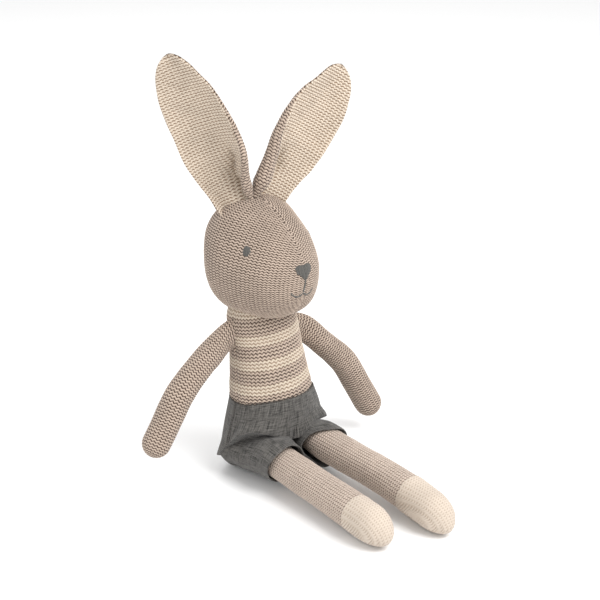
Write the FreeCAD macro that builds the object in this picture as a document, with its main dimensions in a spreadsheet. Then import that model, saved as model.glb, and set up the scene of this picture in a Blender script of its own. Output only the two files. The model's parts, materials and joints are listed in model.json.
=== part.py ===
import FreeCAD, Part
import os

# A sitting stuffed rabbit, millimetres.  It faces -Y, its own left is +X, and it rests on Z = 0.
# Every limb is a knitted cover round its own stuffing, so each cover is a thin shell and each
# stuffing a plain solid a working gap inside it.

DIMS = {
    "gap": 0.3, "cover_thick": 1.3, "panel_split": 0.3,
    # head: an egg lying on its side, lofted along Y through upright ellipses
    "head_half_width": 36.5, "head_half_height": 41.5, "head_back_length": 36.5,
    "head_front_length": 51.0, "head_y": 14.0, "head_z": 158.5, "muzzle_drop": 8.5,
    "thread_thick": 1.1, "eye_size": 3.1, "eye_x": 26.0, "eye_y": -10.5, "eye_z": 172.0,
    "eye_aside": 19.6, "eye_lift": 20.6,
    "nose_half_width": 6.2, "nose_height": 9.5, "nose_z": 163.0, "mouth_z": 142.5,
    "mouth_half_width": 8.0, "thread_width": 1.3,
    # ears: long ovals of two layers, cut off at the head
    "ear_right_length": 110.0, "ear_left_length": 103.0, "ear_half_width": 23.0,
    "ear_layer": 1.9, "ear_stalk": 14.0, "ear_root_gap": 1.6, "ear_inset": 1.6,
    "ear_right_x": -13.2, "ear_right_y": 19.3, "ear_right_z": 200.5,
    "ear_right_turn": -55.0, "ear_right_lean": 9.0, "ear_right_tilt": -22.0,
    "ear_left_x": 11.6, "ear_left_y": 13.7, "ear_left_z": 201.8,
    "ear_left_turn": -15.0, "ear_left_lean": 7.5, "ear_left_tilt": 32.0,
    # neck: one ball of stuffing that the head turns and nods on
    "neck_ball": 10.0, "neck_y": 9.0, "neck_z": 114.0,
    # torso, lofted upwards through level ellipses
    "waist_z": 57.5, "torso_top_z": 110.5, "waist_half_width": 30.0, "waist_half_depth": 25.0,
    "torso_lean": 8.0,
    # shorts
    "shorts_half_width": 38.0, "shorts_half_depth": 27.5, "shorts_front_z": 43.0, "shorts_split_y": -4.0,
    "seat_half_width": 27.0, "seat_half_depth": 16.0, "seat_y": 10.0,
    "waist_welt": 0.9,
    # arms: a bent tube with round ends
    "arm_radius": 9.4, "arm_chord": 90.0, "arm_bend": 180.0, "shoulder_x": 35.8,
    "arm_right_y": 9.0, "arm_right_z": 106.5, "arm_right_drop": 45.5, "arm_right_turn": 2.5,
    "arm_left_y": 5.0, "arm_left_z": 95.5, "arm_left_drop": 53.0, "arm_left_turn": -12.5,
    # legs: a straight tube with round ends, and the leg of the shorts round its root
    "leg_radius": 12.4, "leg_length": 118.6, "toe_ring": 97.0, "hip_z": 21.0,
    "leg_right_x": -18.5, "leg_right_y": -19.0, "leg_right_yaw": -4.0,
    "leg_left_x": 20.0, "leg_left_y": -24.5, "leg_left_yaw": 0.0, "leg_drop": 4.0,
    "sleeve_radius": 16.4, "sleeve_length": 21.0, "hem_length": 6.0, "hip_clear": 17.0,
}

# Head stations: how far along the back or front length, then half height and half width as
# fractions of the largest, then how much of the muzzle drop applies.
HEAD_STATIONS = [
    (0.985, 0.12, 0.12, 0.0), (0.93, 0.37, 0.37, 0.0), (0.77, 0.64, 0.64, 0.0),
    (0.43, 0.90, 0.90, 0.0), (0.0, 1.0, 1.0, 0.05), (-0.36, 0.93, 0.915, 0.2),
    (-0.62, 0.74, 0.74, 0.5), (-0.81, 0.54, 0.57, 0.8), (-0.92, 0.37, 0.40, 0.95),
    (-0.98, 0.2, 0.22, 1.0), (-0.999, 0.07, 0.07, 1.0),
]
# Torso stations: fraction of the height above the waist, then width and depth as fractions.
TORSO_STATIONS = [(0.0, 1.0, 1.0), (0.35, 0.95, 0.955), (0.7, 0.87, 0.88), (0.92, 0.80, 0.81), (1.0, 0.75, 0.76)]
# Shorts stations: height as a fraction of the waist's, how much of the seat's setback applies,
# then half width and half depth: "waist", "hip" or "seat" sizes times a fraction.
SHORTS_STATIONS = [
    (1.0, 0.0, "waist", 1.03), (0.7, 0.15, "shorts", 0.95), (0.38, 0.6, "shorts", 1.0),
    (0.1, 0.95, "seat", 1.2), (0.0, 1.0, "seat", 1.0),
]

doc = FreeCAD.newDocument("bunny")
sheet = doc.addObject("Spreadsheet::Sheet", "Dims")
for row, (alias, value) in enumerate(DIMS.items(), start=1):
    sheet.set(f"A{row}", alias)
    sheet.set(f"B{row}", str(value))
    sheet.setAlias(f"B{row}", alias)
doc.recompute()

nodes = []


def add(kind, name, **bound):
    """One object, with the given properties bound to expressions over the Dims sheet."""
    obj = doc.addObject(kind, name)
    for prop, expression in bound.items():
        obj.setExpression(prop.replace("__", "."), str(expression))
    return obj


def keep(obj, label):
    """Marks an object as one exported piece."""
    obj.Label = label
    nodes.append(obj)
    return obj


def boolean(kind, name, first, second):
    obj = doc.addObject("Part::" + kind, name)
    obj.Base, obj.Tool = first, second
    return obj


def fuse(name, pieces):
    obj = doc.addObject("Part::MultiFuse", name)
    obj.Shapes = pieces
    return obj


def box(name, x, y, z, corner):
    """A box of the given sizes, with its low corner placed by three expressions."""
    return add("Part::Box", name, Length=x, Width=y, Height=z, Placement__Base__x=corner[0],
               Placement__Base__y=corner[1], Placement__Base__z=corner[2])


def sphere(name, radius, x, y, z):
    return add("Part::Sphere", name, Radius=radius, Placement__Base__x=x,
               Placement__Base__y=y, Placement__Base__z=z)


def vector(x, y, z):
    return f"create(<<vector>>; {x}; {y}; {z})"


def turn(axis, angle):
    return f"create(<<rotation>>; {vector(*axis)}; {angle})"


def place(obj, position, rotation):
    obj.setExpression("Placement", f"create(<<placement>>; {vector(*position)}; {rotation})")
    return obj


X, Y, Z = (1, 0, 0), (0, 1, 0), (0, 0, 1)
MAJOR_UP = FreeCAD.Rotation(FreeCAD.Vector(1, 1, 1), 240)  # stands an ellipse up, facing along Y


def loft(name, sections):
    obj = doc.addObject("Part::Loft", name)
    obj.Sections, obj.Solid, obj.Ruled = sections, True, False
    return obj


# ---------------------------------------------------------------- head
def head_egg(name, grow):
    """The head's outer form, grown outwards by `grow` millimetres (inwards if negative)."""
    sections = []
    for i, (along, high, wide, drop) in enumerate(HEAD_STATIONS):
        length = "Dims.head_back_length" if along > 0 else "Dims.head_front_length"
        ring = add("Part::Ellipse", f"{name}_ring{i}",
                   MajorRadius=f"(Dims.head_half_height + {grow}) * {high} + 0.01",
                   MinorRadius=f"(Dims.head_half_width + {grow}) * {wide}")
        ring.Placement = FreeCAD.Placement(FreeCAD.Vector(), MAJOR_UP)
        ring.setExpression("Placement.Base.y", f"Dims.head_y + ({length} + {grow}) * {along}")
        ring.setExpression("Placement.Base.z", f"Dims.head_z - Dims.muzzle_drop * {drop}")
        sections.append(ring)
    return loft(name, sections)


def half_space(name, side, reach=400):
    """Everything on one side of X = 0, stopping half a panel split short of it."""
    low = "Dims.panel_split / 2" if side > 0 else f"-{reach} - Dims.panel_split / 2"
    return box(name, reach, reach, reach, (low, -reach / 2, 0))


neck_pocket = sphere("neck_pocket", "Dims.neck_ball + Dims.gap", 0, "Dims.neck_y", "Dims.neck_z")
head_outer = head_egg("head_outer", "0")
head_shell = boolean("Cut", "head_shell", head_outer, head_egg("head_inner", "-Dims.cover_thick"))
head_open = boolean("Cut", "head_open", head_shell, neck_pocket)
for side, word in ((-1, "right"), (1, "left")):
    keep(boolean("Common", f"head_{word}", head_open, half_space(f"head_{word}_side", side)),
         f"head_panel_{word}")
head_core = head_egg("head_core", "-Dims.cover_thick - Dims.gap")
keep(boolean("Cut", "head_fill", head_core, neck_pocket), "head_stuffing")

# Embroidery: a thin skin over the face, cut to each stitched shape.
face_skin = boolean("Cut", "face_skin", head_egg("face_outer", "Dims.gap + Dims.thread_thick"),
                    head_egg("face_inner", "Dims.gap"))


def face_rod(name, radius, x, z):
    """A rod that runs straight forward through the face."""
    rod = add("Part::Cylinder", name, Radius=radius, Height=70)
    rod.Placement.Rotation = FreeCAD.Rotation(FreeCAD.Vector(1, 0, 0), 90)
    rod.setExpression("Placement.Base.x", str(x))
    rod.setExpression("Placement.Base.z", str(z))
    return rod


for side, word in ((-1, "right"), (1, "left")):
    rod = add("Part::Cylinder", f"eye_{word}_rod", Radius="Dims.eye_size", Height=12)
    facing = turn(Z, "-Dims.eye_aside" if side > 0 else "180 + Dims.eye_aside")
    place(rod, (f"{side} * Dims.eye_x * 0.85", "Dims.eye_y + 2", "Dims.eye_z - 2"),
          f"{facing} * {turn(Y, '90 - Dims.eye_lift')}")
    keep(boolean("Common", f"eye_{word}_patch", face_skin, rod), f"eye_{word}")

# The nose is a downward wedge, wide at the top.
nose_prism = add("Part::Wedge", "nose_prism", Xmin="-Dims.nose_half_width", Xmax="Dims.nose_half_width",
                 X2min="-Dims.nose_half_width * 0.15", X2max="Dims.nose_half_width * 0.15",
                 Ymin=0, Ymax="Dims.nose_height", Zmin=0, Zmax=60, Z2min=0, Z2max=60)
nose_prism.Placement.Rotation = FreeCAD.Rotation(FreeCAD.Vector(1, 0, 0), 270)
nose_prism.setExpression("Placement.Base.y", "-60")
nose_prism.setExpression("Placement.Base.z", "Dims.nose_z")
keep(boolean("Common", "nose_patch", face_skin, nose_prism), "nose")

# The mouth is one thread: a stem down from the nose, then a shallow curve to each side.
stem = box("mouth_stem", "Dims.thread_width", 60, "Dims.nose_z - Dims.nose_height - 0.4 - Dims.mouth_z",
           ("-Dims.thread_width / 2", -60, "Dims.mouth_z"))
smiles = []
for side, word in ((-1, "right"), (1, "left")):
    middle = f"{side} * Dims.mouth_half_width / 2"
    height = "Dims.mouth_z + Dims.mouth_half_width / 2"
    outer = face_rod(f"smile_{word}_outer", "(Dims.mouth_half_width + Dims.thread_width) / 2", middle, height)
    inner = face_rod(f"smile_{word}_inner", "(Dims.mouth_half_width - Dims.thread_width) / 2", middle, height)
    smiles.append(boolean("Cut", f"smile_{word}_ring", outer, inner))
lower = box("smile_half", 60, 70, 20, (-30, -70, "Dims.mouth_z + Dims.mouth_half_width * 0.3 - 20"))
smile = boolean("Common", "smile", fuse("smile_rings", smiles), lower)
keep(boolean("Common", "mouth_thread", face_skin, fuse("mouth_path", [stem, smile])), "mouth")


# ---------------------------------------------------------------- ears
def ear(word):
    """Two long oval layers back to back, standing just clear of the head on their fold line."""
    size = f"Dims.ear_{word}_"
    half = f"({size}length + Dims.ear_stalk) / 2"
    for layer, low, inset in (("front", "-Dims.ear_layer - Dims.gap / 2", "Dims.ear_inset"),
                              ("back", "Dims.gap / 2", "0")):
        wide = f"(Dims.ear_half_width - {inset})"
        tall = f"({half} - {inset})"
        oval = add("Part::Ellipse", f"ear_{word}_{layer}_oval", MajorRadius=tall, MinorRadius=wide)
        oval.Placement = FreeCAD.Placement(FreeCAD.Vector(), MAJOR_UP)
        oval.setExpression("Placement.Base.y", low)
        oval.setExpression("Placement.Base.z", f"{half} - Dims.ear_stalk")
        leaf = doc.addObject("Part::Extrusion", f"ear_{word}_{layer}_leaf")
        leaf.Base, leaf.Solid, leaf.DirMode, leaf.Dir = oval, True, "Custom", FreeCAD.Vector(0, 1, 0)
        leaf.setExpression("LengthFwd", "Dims.ear_layer")
        root = box(f"ear_{word}_{layer}_root", 400, 400, 60, (-200, -200, "Dims.ear_root_gap - 60"))
        piece = boolean("Cut", f"ear_{word}_{layer}_piece", leaf, root)
        turned = " * ".join((turn(Z, size + "turn"), turn(X, size + "lean"), turn(Y, size + "tilt")))
        place(piece, (size + "x", size + "y", size + "z"), turned)
        keep(piece, f"ear_{word}_{layer}")


ear("right")
ear("left")

# ---------------------------------------------------------------- neck, torso and shorts
neck = sphere("neck", "Dims.neck_ball", 0, "Dims.neck_y", "Dims.neck_z")
keep(neck, "neck_stuffing")


def level_ring(name, width, depth, y, z):
    return add("Part::Ellipse", name, MajorRadius=width, MinorRadius=depth,
               Placement__Base__y=y, Placement__Base__z=z)


def torso(name, grow):
    rings = []
    for i, (up, wide, deep) in enumerate(TORSO_STATIONS):
        rings.append(level_ring(
            f"{name}_ring{i}", f"Dims.waist_half_width * {wide} + {grow}",
            f"Dims.waist_half_depth * {deep} + {grow}", f"Dims.torso_lean * {up}",
            f"Dims.waist_z + (Dims.torso_top_z - Dims.waist_z) * {up}"))
    return loft(name, rings)


def shorts(name, grow, floor):
    """The form of the shorts, grown by `grow`, with its lowest ring raised to `floor`."""
    rings = []
    for i, (up, back, size, part) in enumerate(SHORTS_STATIONS):
        rings.append(level_ring(
            f"{name}_ring{i}", f"Dims.{size}_half_width * {part} + {grow}",
            f"Dims.{size}_half_depth * {part} + {grow}", f"Dims.seat_y * {back}",
            f"({floor}) * (1 - {up}) + (Dims.waist_z - Dims.gap) * {up}"))
    return loft(name, rings)


def hip_rod(word, side, radius):
    """Room for the root of one leg: a rod across the body from its middle to one side."""
    rod = add("Part::Cylinder", f"hip_{word}_room", Radius=radius, Height=60)
    rod.Placement.Rotation = FreeCAD.Rotation(FreeCAD.Vector(0, 1, 0), 90 * side)
    rod.setExpression("Placement.Base.y", f"Dims.leg_{word}_y")
    rod.setExpression("Placement.Base.z", "Dims.hip_z")
    return rod


room = [hip_rod(word, side, "Dims.hip_clear + Dims.gap") for side, word in ((-1, "right"), (1, "left"))]
for side, word in ((-1, "right"), (1, "left")):
    edge = -60 if side < 0 else 0
    room.append(box(f"thigh_{word}_room", 60, 80, "Dims.shorts_front_z + 10",
                    (edge, f"Dims.leg_{word}_y - 80", -10)))
    room.append(box(f"swing_{word}_room", 60, "80 + Dims.hip_clear + Dims.gap", "Dims.hip_z + 10",
                    (edge, f"Dims.leg_{word}_y - 80", -10)))
leg_room = fuse("leg_room", room)

torso_shell = boolean("Cut", "torso_shell", torso("torso_outer", "0"), torso("torso_inner", "-Dims.cover_thick"))
shorts_shell = boolean("Cut", "shorts_shell", shorts("shorts_outer", "0", "0"),
                       shorts("shorts_inner", "-Dims.cover_thick", "Dims.cover_thick"))
shorts_open = boolean("Cut", "shorts_open", shorts_shell, leg_room)


def split_plane(name, front, y):
    """Everything in front of, or behind, a level line across the body."""
    low = "-200 - Dims.panel_split / 2" if front else "Dims.panel_split / 2"
    return box(name, 400, 200, 400, (-200, f"{y} + {low}", -100))


for word, front in (("front", True), ("back", False)):
    keep(boolean("Common", f"torso_{word}", torso_shell, split_plane(f"torso_{word}_side", front, "Dims.torso_lean / 2")),
         f"torso_panel_{word}")
    keep(boolean("Common", f"shorts_{word}", shorts_open, split_plane(f"shorts_{word}_side", front, "Dims.shorts_split_y")),
         f"shorts_panel_{word}")

fill_inset = "-Dims.cover_thick - Dims.gap"
waist_core = loft("waist_core", [level_ring(f"waist_core_ring{i}", "Dims.waist_half_width * 0.9",
                                            "Dims.waist_half_depth * 0.9", 0, f"Dims.waist_z + {z}")
                                 for i, z in enumerate((-4, 4))])
body_core = fuse("body_core", [torso("torso_core", fill_inset), waist_core,
                               shorts("shorts_core", fill_inset, "Dims.cover_thick + Dims.gap")])
body_holes = fuse("body_holes", [leg_room, sphere("neck_socket", "Dims.neck_ball + Dims.gap", 0,
                                                  "Dims.neck_y", "Dims.neck_z")])
keep(boolean("Cut", "body_fill", body_core, body_holes), "body_stuffing")

# A raised stitched welt closes the join between torso and shorts.
welt_outer = loft("welt_outer", [level_ring(f"welt_outer_ring{i}", "Dims.waist_half_width + Dims.waist_welt + 0.9",
                                            "Dims.waist_half_depth + Dims.waist_welt + 0.9", 0, f"Dims.waist_z + {z}")
                                 for i, z in enumerate((-0.6, 0.6))])
welt_inner = loft("welt_inner", [level_ring(f"welt_inner_ring{i}", "Dims.waist_half_width + 0.9 + Dims.gap",
                                            "Dims.waist_half_depth + 0.9 + Dims.gap", 0, f"Dims.waist_z + {z}")
                                 for i, z in enumerate((-2, 2))])
keep(boolean("Cut", "welt", welt_outer, welt_inner), "waist_seam")


# ---------------------------------------------------------------- arms
def bent_tube(name, grow):
    """An arm's form in its own frame: root at the origin, tip straight below, bulging along +X."""
    half_angle = "asin(Dims.arm_chord / 2 / Dims.arm_bend)"
    radius = f"Dims.arm_radius + {grow}"
    bend = add("Part::Torus", name + "_bend", Radius1="Dims.arm_bend", Radius2=radius,
               Angle3=f"2 * {half_angle}")
    place(bend, (f"-sqrt(Dims.arm_bend ^ 2 - (Dims.arm_chord / 2) ^ 2)", 0, "-Dims.arm_chord / 2"),
          f"{turn(X, 90)} * {turn(Z, '-' + half_angle)}")
    ends = [sphere(name + "_root", radius, 0, 0, 0), sphere(name + "_tip", radius, 0, 0, "-Dims.arm_chord")]
    return fuse(name, [bend] + ends)


def shell_and_fill(name, form, cover_thick="Dims.cover_thick"):
    """The cover and the stuffing of a limb whose outer form is given by form(name, grow)."""
    cover = boolean("Cut", name + "_skin", form(name + "_outer", "0"), form(name + "_inner", f"-{cover_thick}"))
    return cover, form(name + "_core", f"-{cover_thick} - Dims.gap")


for side, word in ((-1, "right"), (1, "left")):
    size = f"Dims.arm_{word}_"
    facing = turn(Z, f"{size}turn" if side > 0 else f"180 + {size}turn")
    pose = f"{facing} * {turn(Y, f'{size}drop - 90')}"
    for piece, kind in zip(shell_and_fill(f"arm_{word}", bent_tube), ("cover", "stuffing")):
        place(piece, (f"{side} * Dims.shoulder_x", f"{size}y", f"{size}z"), pose)
        keep(piece, f"arm_{word}_{kind}")


# ---------------------------------------------------------------- legs
def straight_tube(name, grow):
    """A leg's form in its own frame: root at the origin, toe along +Z."""
    radius = f"Dims.leg_radius + {grow}"
    shank = add("Part::Cylinder", name + "_shank", Radius=radius, Height="Dims.leg_length")
    ends = [sphere(name + "_root", radius, 0, 0, 0), sphere(name + "_tip", radius, 0, 0, "Dims.leg_length")]
    return fuse(name, [shank] + ends)


def ring(name, outer, inner, low, high):
    """A plain tube about Z between two heights."""
    solids = [add("Part::Cylinder", f"{name}_{word}", Radius=radius, Height=f"{high} - ({low}) + {extra} * 2",
                  Placement__Base__z=f"{low} - {extra}")
              for word, radius, extra in (("outside", outer, 0), ("inside", inner, 5))]
    return boolean("Cut", name, *solids)


for side, word in ((-1, "right"), (1, "left")):
    size = f"Dims.leg_{word}_"
    skin, core = shell_and_fill(f"leg_{word}", straight_tube)
    beyond = box(f"leg_{word}_beyond", 100, 100, 100, (-50, -50, "Dims.toe_ring - Dims.gap"))
    toe_side = box(f"leg_{word}_toe_side", 100, 100, 100, (-50, -50, "Dims.toe_ring"))
    sleeve_inner = "Dims.sleeve_radius - Dims.cover_thick"
    pieces = {
        f"leg_{word}_cover": boolean("Cut", f"leg_{word}_knit", skin, beyond),
        f"leg_{word}_toe": boolean("Common", f"leg_{word}_cap", skin, toe_side),
        f"leg_{word}_stuffing": core,
        f"shorts_leg_{word}": ring(f"sleeve_{word}", "Dims.sleeve_radius", sleeve_inner, "0", "Dims.sleeve_length"),
        f"shorts_hem_{word}": ring(f"hem_{word}", f"{sleeve_inner} - Dims.gap",
                                   f"{sleeve_inner} - Dims.gap - Dims.cover_thick",
                                   "Dims.sleeve_length - Dims.hem_length", "Dims.sleeve_length"),
    }
    pose = f"{turn(Z, size + 'yaw')} * {turn(X, '90 + Dims.leg_drop')}"
    for label, piece in pieces.items():
        place(piece, (size + "x", size + "y", "Dims.hip_z"), pose)
        keep(piece, label)

# ---------------------------------------------------------------- build, check, export
doc.recompute()
for obj in doc.Objects:
    if {"Invalid", "Error"} & set(obj.State):
        raise RuntimeError(f"{obj.Name} did not recompute: {obj.State}")
for obj in nodes:
    if obj.Shape.isNull() or not obj.Shape.isValid() or len(obj.Shape.Solids) != 1:
        raise RuntimeError(f"{obj.Label} is not one valid solid")
os.makedirs("parts", exist_ok=True)
for obj in nodes:
    obj.Shape.exportStep(f"parts/{obj.Label}.step")
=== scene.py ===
import json
import math

import bpy
import numpy as np
from mathutils import Matrix, Vector


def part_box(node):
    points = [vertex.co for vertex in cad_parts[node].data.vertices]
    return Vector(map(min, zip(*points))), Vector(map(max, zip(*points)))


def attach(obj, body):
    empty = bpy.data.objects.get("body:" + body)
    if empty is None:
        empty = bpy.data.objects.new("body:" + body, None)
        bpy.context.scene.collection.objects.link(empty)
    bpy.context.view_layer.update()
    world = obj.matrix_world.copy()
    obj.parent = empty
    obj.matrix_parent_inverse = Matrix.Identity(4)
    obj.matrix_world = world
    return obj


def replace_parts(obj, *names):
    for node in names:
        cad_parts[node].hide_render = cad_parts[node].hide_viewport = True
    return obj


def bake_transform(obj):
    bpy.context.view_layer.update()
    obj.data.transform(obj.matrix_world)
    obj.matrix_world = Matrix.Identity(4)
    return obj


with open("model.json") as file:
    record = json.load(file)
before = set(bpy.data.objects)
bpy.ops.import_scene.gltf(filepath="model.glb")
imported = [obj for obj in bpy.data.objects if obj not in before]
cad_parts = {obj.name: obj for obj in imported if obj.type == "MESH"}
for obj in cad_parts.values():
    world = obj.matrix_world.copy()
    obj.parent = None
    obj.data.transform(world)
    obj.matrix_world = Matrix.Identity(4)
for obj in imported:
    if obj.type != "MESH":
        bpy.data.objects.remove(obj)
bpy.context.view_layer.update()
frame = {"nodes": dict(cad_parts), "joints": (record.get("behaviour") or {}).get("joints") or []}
MM = 0.001
TAU = 2 * math.pi
JOINTS = {j["name"]: j for j in frame["joints"]}
SIDES = (("right", -1), ("left", 1))  # the toy's own right is at negative x
rng = np.random.default_rng(7)


# ---------------------------------------------------------------- numbers and small helpers, in millimetres
def box(*nodes):
    """Lowest and highest corner of some CAD nodes, in millimetres."""
    corners = [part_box(n) for n in nodes]
    return (np.min([c[0] for c in corners], 0) / MM, np.max([c[1] for c in corners], 0) / MM)


def joint(name):
    """A joint's point in millimetres and its axis."""
    return np.array(JOINTS[name]["pos_m"]) / MM, np.array(JOINTS[name]["axis"], float)


def vertices(node):
    """The vertices of a CAD node, in millimetres."""
    return np.array([v.co for v in frame["nodes"][node].data.vertices]) / MM


def far_point(node, start):
    """The point of a CAD node farthest from start, in millimetres."""
    co = vertices(node)
    return co[np.argmax(np.linalg.norm(co - start, axis=1))]


def smooth(x, a, b):
    """A soft step, from 0 at a to 1 at b."""
    t = np.clip((x - a) / (b - a), 0, 1)
    return t * t * (3 - 2 * t)


def bump(x, middle, width):
    """A soft hump that is 1 at the middle."""
    return np.exp(-(((x - middle) / width) ** 2))


def unit(v):
    """Vectors made one long."""
    v = np.asarray(v, float)
    return v / np.maximum(np.linalg.norm(v, axis=-1, keepdims=True), 1e-12)


def ripple(points, size, seed):
    """Smooth wandering noise over points, about -1 to 1, with features of about size millimetres."""
    draw = np.random.default_rng(seed)
    octaves, waves = 3, 5
    total = np.zeros(points.shape[:-1])
    for octave in range(octaves):
        for _ in range(waves):
            direction = unit(draw.normal(size=3)) * TAU / (size / 1.8**octave)
            total += np.sin(points @ direction + draw.uniform(0, TAU)) * 0.6**octave
    return total / waves


def profile(x, xs, ys):
    """A smooth curve through a few stations."""
    x, xs, ys = np.asarray(x, float), np.asarray(xs, float), np.asarray(ys, float)
    slope = np.gradient(ys, xs)
    i = np.clip(np.searchsorted(xs, x) - 1, 0, len(xs) - 2)
    h = xs[i + 1] - xs[i]
    t = np.clip((x - xs[i]) / h, 0, 1)
    return ((1 + 2 * t) * (1 - t) ** 2 * ys[i] + t * (1 - t) ** 2 * h * slope[i]
            + t * t * (3 - 2 * t) * ys[i + 1] + t * t * (t - 1) * h * slope[i + 1])


def spline(points, count):
    """A smooth curve through points, resampled to count evenly spaced points, with its tangents."""
    pts = np.asarray(points, float)
    ext = np.vstack([2 * pts[0] - pts[1], pts, 2 * pts[-1] - pts[-2]])
    out = []
    for i in range(len(pts) - 1):
        p0, p1, p2, p3 = ext[i : i + 4]
        t = np.linspace(0, 1, 40, endpoint=i == len(pts) - 2)[:, None]
        out.append(0.5 * (2 * p1 + (p2 - p0) * t + (2 * p0 - 5 * p1 + 4 * p2 - p3) * t**2
                          + (3 * p1 - p0 - 3 * p2 + p3) * t**3))
    out = np.vstack(out)
    along = np.r_[0, np.cumsum(np.linalg.norm(np.diff(out, axis=0), axis=1))]
    even = np.linspace(0, along[-1], count)
    curve = resample(out, along, even)
    return curve, unit(np.gradient(curve, axis=0)), even


def resample(values, along, even):
    """Values known at along, read off at even."""
    return np.stack([np.interp(even, along, values[:, k]) for k in range(3)], -1)


# ---------------------------------------------------------------- meshes
def mesh_object(name, verts, faces, material, uv=None):
    """A mesh from vertices in millimetres, faces of any size, and one uv pair per face corner."""
    mesh = bpy.data.meshes.new(name)
    sizes = np.array([len(f) for f in faces])
    corners = np.concatenate([np.asarray(f, np.int32) for f in faces])
    mesh.vertices.add(len(verts))
    mesh.vertices.foreach_set("co", (np.asarray(verts) * MM).astype(np.float32).ravel())
    mesh.loops.add(len(corners))
    mesh.loops.foreach_set("vertex_index", corners)
    mesh.polygons.add(len(sizes))
    mesh.polygons.foreach_set("loop_start", np.r_[0, np.cumsum(sizes)[:-1]].astype(np.int32))
    mesh.update(calc_edges=True)
    mesh.polygons.foreach_set("use_smooth", np.ones(len(sizes), bool))
    if uv is not None:
        layer = mesh.uv_layers.new(name="UVMap")
        layer.data.foreach_set("uv", np.asarray(uv, np.float32).ravel())
    mesh.validate()
    mesh.materials.append(material)
    obj = bpy.data.objects.new(name, mesh)
    bpy.context.scene.collection.objects.link(obj)
    return obj


def grid_faces(rows, cols, wrap, offset=0):
    """Quads of a grid, and for each corner its (row, column) with the column not wrapped."""
    count = cols if wrap else cols - 1
    i, j = (a.ravel() for a in np.mgrid[0 : rows - 1, 0:count])
    ri = np.stack([i, i, i + 1, i + 1], -1)
    cj = np.stack([j, j + 1, j + 1, j], -1)
    return ri * cols + cj % cols + offset, ri, cj


def grid_normals(points, wrap):
    """Unit normals of a grid of points, wrapped across its columns or not."""
    if wrap:
        across = np.roll(points, -1, 1) - np.roll(points, 1, 1)
    else:
        across = np.gradient(points, axis=1)
    return unit(np.cross(across, np.gradient(points, axis=0)))


def knit(st, wave=0.2):
    """Height of purl-side knitting at stitch coordinates st: 0 between rows, 1 on a ridge."""
    s, t = st[..., 0], st[..., 1]
    ridge = 0.5 + 0.5 * np.cos(TAU * (t + wave * np.sin(TAU * s)))
    return ridge**0.8 * (0.85 + 0.15 * np.cos(TAU * (2 * s + 0.25)))


def skin(name, points, st, material, amount, fade=1.0):
    """A closed skin over rings of points; st has one more column than the rings have points."""
    cols = points.shape[1]
    height = amount * fade * (knit(st[:, :cols]) - 0.6)
    lifted = points + grid_normals(points, True) * height[..., None]
    quads, ri, cj = grid_faces(*points.shape[:2], True)
    last = (points.shape[0] - 1) * cols
    faces = list(quads) + [np.arange(cols)[::-1], last + np.arange(cols)]
    uv = [st[ri, cj].reshape(-1, 2), st[0, :cols][::-1], st[-1, :cols]]
    return mesh_object(name, lifted.reshape(-1, 3), faces, material, np.concatenate(uv))


def shell(name, points, st, material, amount, thick=1.2, out=1.0, fade=1.0, wave=0.2):
    """A knitted panel with a thickness. Its outer side is knitted; its inner one is plain and coarser."""
    normal = grid_normals(points, False) * out
    lifted = points + normal * (amount * fade * (knit(st, wave) - 0.6))[..., None]
    few = np.unique(np.r_[0 : points.shape[1] : 5, points.shape[1] - 1])[::-1]
    thick = np.broadcast_to(thick, points.shape[:2])[..., None]
    ring = np.concatenate([lifted, (points - normal * thick)[:, few]], 1)
    ring_st = np.concatenate([st, st[:, few], st[:, :1]], 1)
    cols = ring.shape[1]
    quads, ri, cj = grid_faces(*ring.shape[:2], True)
    last = (ring.shape[0] - 1) * cols
    low, high = np.arange(cols)[::-1], last + np.arange(cols)
    faces = list(quads) + [low, high]
    uv = [ring_st[ri, cj].reshape(-1, 2), ring_st[0, :cols][::-1], ring_st[-1, :cols]]
    if out < 0:
        faces = [f[::-1] for f in faces]
        uv = [uv[0].reshape(-1, 4, 2)[:, ::-1].reshape(-1, 2), uv[1][::-1], uv[2][::-1]]
    return mesh_object(name, ring.reshape(-1, 3), faces, material, np.concatenate(uv))


def tube_st(points, stitches, row):
    """Stitch coordinates for a wrapped grid: a whole number of stitches round, rows of one height."""
    steps = np.linalg.norm(np.diff(points, axis=0), axis=2).mean(1)
    t = np.r_[0, np.cumsum(steps)] / row
    s = np.linspace(0, stitches, points.shape[1] + 1)
    return np.stack(np.broadcast_arrays(s[None], t[:, None]), -1)


def tube(curve, tangent, normal, in_plane, out_plane, segments):
    """A wrapped grid round a curve; normal is square to the plane that the curve bends in."""
    side = unit(np.cross(normal, tangent))
    angle = np.linspace(0, TAU, segments, endpoint=False)
    ring = (np.cos(angle)[None, :, None] * side[:, None] * np.asarray(in_plane)[:, None, None]
            + np.sin(angle)[None, :, None] * np.broadcast_to(normal, side.shape)[:, None]
            * np.asarray(out_plane)[:, None, None])
    return curve[:, None] + ring


def round_end(along, length):
    """Radius factor that closes a tube with a half round over its last stretch."""
    x = np.clip((along - (along[-1] - length)) / length, 0, 1)
    return np.sqrt(np.maximum(1 - x**2, 0.0004))


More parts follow.
